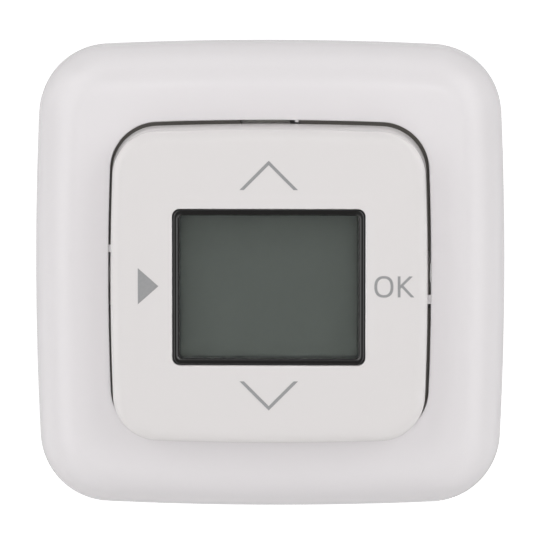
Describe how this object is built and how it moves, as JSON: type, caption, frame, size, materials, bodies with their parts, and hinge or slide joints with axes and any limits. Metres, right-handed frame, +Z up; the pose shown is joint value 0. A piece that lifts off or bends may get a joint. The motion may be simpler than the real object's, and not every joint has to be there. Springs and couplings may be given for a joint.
{
  "type": "wall thermostat",
  "caption": "Flush-mounted room thermostat with a cushion-shaped cover frame, a proud four-way key plate around a blank display, and a round wall-box can with screw terminals.",
  "frame": {"origin": "middle of the support plate's back, on the wall surface", "axes": "X to the right as seen from the room, Z up, -Y out of the wall towards the room, +Y into the wall box"},
  "size_m": [0.0804, 0.0425, 0.0804],
  "materials": {
    "frame_white": "semi-gloss moulded plastic",
    "key_white": "semi-gloss moulded plastic",
    "print_grey": "pad-printed ink",
    "bezel_black": "gloss black",
    "lens_clear": "clear acrylic",
    "mask_black": "printed border",
    "lcd_grey": "reflective LCD, off",
    "module_dark": "dark grey-brown moulding",
    "spring_steel": "bright spring strip",
    "zinc_steel": "zinc-plated",
    "pin_steel": "ground pin",
    "zinc_plate": "zinc-plated sheet",
    "board_green": "solder mask",
    "switch_black": "moulded",
    "acetal_white": "acetal",
    "diffuser_white": "light guide",
    "led_white": "phosphor",
    "elastomer_grey": "silicone",
    "chip_black": "epoxy",
    "cell_steel": "can",
    "sensor_black": "epoxy bead",
    "contact_brass": "plated pins",
    "clamp_brass": "clamp cages",
    "can_grey": "fine matt moulding",
    "relay_blue": "relay case",
    "transformer_yellow": "taped winding",
    "film_cap_grey": "box capacitor",
    "elko_black": "sleeve",
    "varistor_blue": "epoxy disc",
    "fuse_brown": "fuse case",
    "terminal_grey": "terminal moulding"
  },
  "bodies": {
    "base": {"backlight_leds": "led_white", "backup_capacitor": "cell_steel", "control_cover": "module_dark", "control_housing": "module_dark", "control_pcb": "board_green", "control_screws": "zinc_steel", "cover_frame": "frame_white", "display_bezel": "bezel_black", "display_lens": "lens_clear", "frame_clips": "spring_steel", "fuse": "fuse_brown", "housing_screws": "zinc_steel", "lcd_cell": "lcd_grey", "lcd_contact_strips": "elastomer_grey", "lens_mask": "mask_black", "light_guide": "diffuser_white", "link_header": "switch_black", "link_pins": "contact_brass", "link_socket": "switch_black", "microcontroller": "chip_black", "power_housing": "can_grey", "power_lid": "can_grey", "power_pcb": "board_green", "relay": "relay_blue", "ring_pivot_pins": "pin_steel", "room_sensor": "sensor_black", "smoothing_capacitor": "elko_black", "supply_capacitor": "film_cap_grey", "supply_transformer": "transformer_yellow", "support_plate": "zinc_plate", "tact_switches": "switch_black", "terminal_block": "terminal_grey", "terminal_clamps": "clamp_brass", "terminal_screws": "zinc_steel", "varistor": "varistor_blue"},
    "rocker_ring": {"rocker_ring": "acetal_white", "plate_pivot_pins": "pin_steel"},
    "key_plate": {"key_plate": "key_white", "symbol_up": "print_grey", "symbol_down": "print_grey", "symbol_menu": "print_grey", "symbol_ok": "print_grey"},
    "plunger_up": {"plunger_up": "acetal_white"},
    "plunger_down": {"plunger_down": "acetal_white"},
    "plunger_left": {"plunger_left": "acetal_white"},
    "plunger_right": {"plunger_right": "acetal_white"}
  },
  "joints": [
    {"name": "ring_tilt", "type": "hinge", "parent": "base", "child": "rocker_ring", "pos_m": [0, -0.0105, 0], "axis": [-1, 0, 0], "range_deg": [-1, 1], "stiffness_Nm_per_rad": 1.2},
    {"name": "plate_tilt", "type": "hinge", "parent": "rocker_ring", "child": "key_plate", "pos_m": [0, -0.0105, 0], "axis": [0, 0, 1], "range_deg": [-1, 1], "stiffness_Nm_per_rad": 1.2},
    {"name": "plunger_up_travel", "type": "slide", "parent": "base", "child": "plunger_up", "axis": [0, 1, 0], "range_m": [-0.00042, 0.00042]},
    {"name": "plunger_down_travel", "type": "slide", "parent": "base", "child": "plunger_down", "axis": [0, 1, 0], "range_m": [-0.00042, 0.00042]},
    {"name": "plunger_right_travel", "type": "slide", "parent": "base", "child": "plunger_right", "axis": [0, 1, 0], "range_m": [-0.00042, 0.00042]},
    {"name": "plunger_left_travel", "type": "slide", "parent": "base", "child": "plunger_left", "axis": [0, 1, 0], "range_m": [-0.00042, 0.00042]}
  ],
  "couplings": [
    {"joint": "plunger_up_travel", "follows": "ring_tilt", "m_per_rad": 0.0215},
    {"joint": "plunger_down_travel", "follows": "ring_tilt", "m_per_rad": -0.0215},
    {"joint": "plunger_right_travel", "follows": "plate_tilt", "m_per_rad": 0.0229},
    {"joint": "plunger_left_travel", "follows": "plate_tilt", "m_per_rad": -0.0229}
  ]
}
